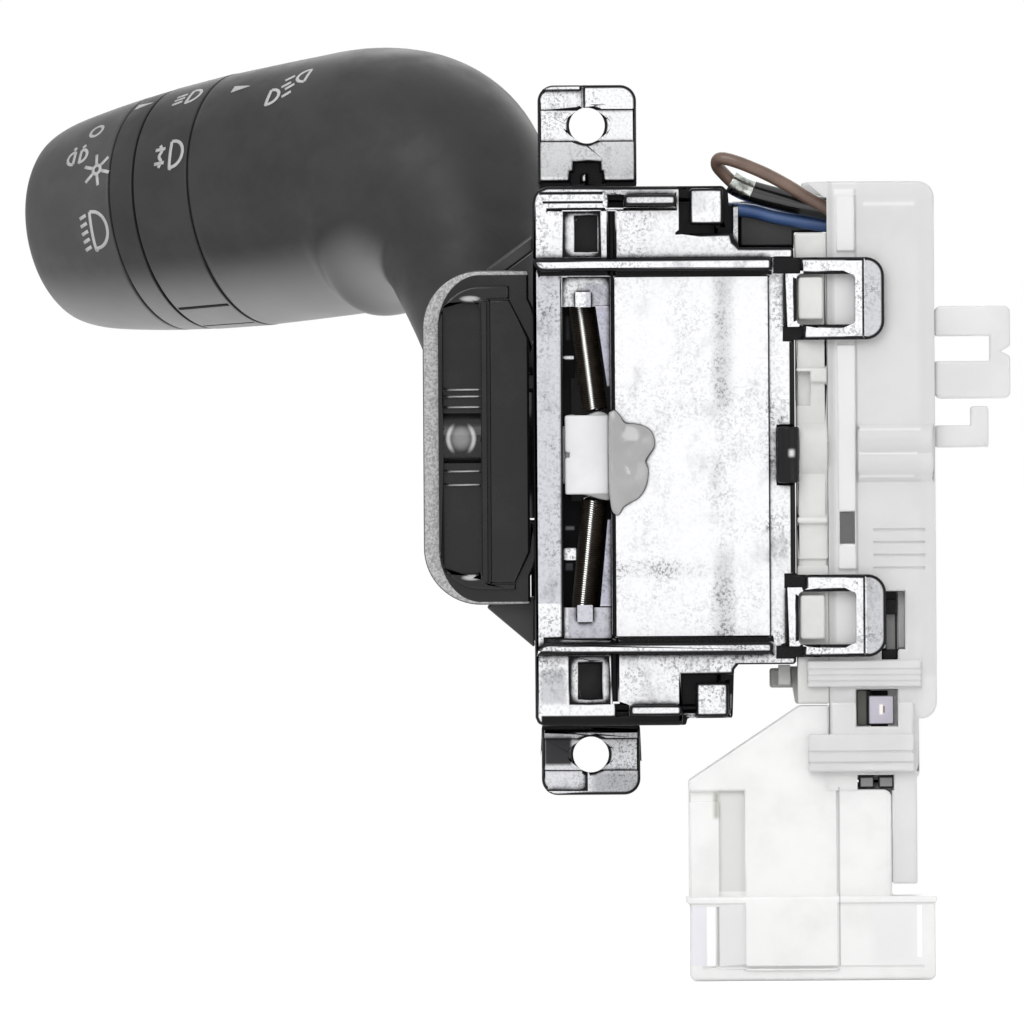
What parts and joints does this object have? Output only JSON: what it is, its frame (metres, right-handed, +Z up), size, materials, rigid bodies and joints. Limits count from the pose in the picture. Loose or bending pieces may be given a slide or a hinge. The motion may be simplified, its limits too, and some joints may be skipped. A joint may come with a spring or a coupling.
{
  "type": "combination stalk switch",
  "caption": "Steering-column stalk switch: bent lever with rotary lamp knob and ring, spring-centred turn mechanism, contact unit and plug socket.",
  "frame": {"origin": "midway between the two fixing holes, on the mounting tabs' front face", "axes": "+X from the stalk towards the contact unit, +Z up along the line of the fixing holes, +Y from the bright front face back to the stalk"},
  "size_m": [0.1164, 0.0768, 0.1104],
  "materials": {
    "frame_metal": "bright, finely speckled faces with black edges",
    "case_black": "moulded black, slightly glossy",
    "screw_steel": "dark zinc",
    "pin_steel": "ground",
    "stop_black": "glossy black",
    "detent_steel": "ground",
    "anchor_grey": "moulded",
    "spring_steel": "dark oiled wire",
    "base_white": "moulded white",
    "board": "phenolic board",
    "cover_clear": "translucent natural plastic",
    "carrier_white": "moulded white",
    "terminal_dark": "dark tinned",
    "socket_milky": "milky natural plastic",
    "contact_brass": "bright",
    "wire_brown": "smooth insulation",
    "wire_blue": "smooth insulation",
    "sleeve_black": "shiny sleeve",
    "block_white": "moulded white",
    "carriage_white": "moulded white",
    "holder_black": "glossy black, matte grey rim",
    "stalk_grey": "soft fine-grained",
    "core_black": "moulded black",
    "band_grey": "soft fine-grained",
    "ring_grey": "soft fine-grained",
    "knob_grey": "soft fine-grained"
  },
  "bodies": {
    "housing": {"frame": "frame_metal", "rear_case": "case_black", "case_screws": "screw_steel", "pivot_pin": "pin_steel", "stop_pin": "stop_black", "detent_plate": "detent_steel", "spring_anchors": "anchor_grey", "spring_upper": "spring_steel", "spring_lower": "spring_steel", "switch_base": "base_white", "contact_board": "board", "cover": "cover_clear", "column_clip": "cover_clear", "terminal_carrier": "carrier_white", "terminal_tabs": "terminal_dark", "plug_socket": "socket_milky", "socket_blades": "contact_brass", "wire_brown": "wire_brown", "wire_blue": "wire_blue", "wire_sleeve": "sleeve_black"},
    "turn_body": {"lever_holder": "holder_black", "detent_plunger": "pin_steel", "detent_spring": "spring_steel", "dimmer_pin": "pin_steel"},
    "stalk": {"stalk_shell": "stalk_grey", "stalk_hinge": "case_black", "rotary_core": "core_black", "index_band": "band_grey", "contact_disc": "board"},
    "fog_body": {"fog_ring": "ring_grey"},
    "light_body": {"light_knob": "knob_grey", "light_rotor": "core_black"},
    "return_body": {"return_block": "block_white"},
    "carriage_body": {"contact_carriage": "carriage_white", "moving_contact": "contact_brass"}
  },
  "joints": [
    {"name": "turn_swing", "type": "hinge", "parent": "housing", "child": "turn_body", "pos_m": [0.01, 0.004, -0.00175], "axis": [0, 1, 0], "range_deg": [-11, 11], "stiffness_Nm_per_rad": 3},
    {"name": "dimmer_swing", "type": "hinge", "parent": "turn_body", "child": "stalk", "pos_m": [-0.0085, 0.005, -0.00175], "axis": [0, 0, 1], "range_deg": [-4, 7], "stiffness_Nm_per_rad": 3},
    {"name": "fog_turn", "type": "hinge", "parent": "stalk", "child": "fog_body", "pos_m": [-0.039, 0.048, 0.029], "axis": [-0.8308, 0.5416, -0.1281], "range_deg": [0, 40]},
    {"name": "light_turn", "type": "hinge", "parent": "stalk", "child": "light_body", "pos_m": [-0.039, 0.048, 0.029], "axis": [-0.8308, 0.5416, -0.1281], "range_deg": [0, 75]},
    {"name": "return_slide", "type": "slide", "parent": "housing", "child": "return_body", "axis": [0, 0, 1], "range_m": [-0.002, 0.002], "deforming": ["spring_upper", "spring_lower"]},
    {"name": "carriage_slide", "type": "slide", "parent": "housing", "child": "carriage_body", "axis": [0, 0, 1], "range_m": [-0.004, 0.004]}
  ],
  "couplings": [
    {"joint": "return_slide", "follows": "turn_swing", "m_per_rad": 0.01},
    {"joint": "carriage_slide", "follows": "turn_swing", "m_per_rad": -0.0202}
  ]
}
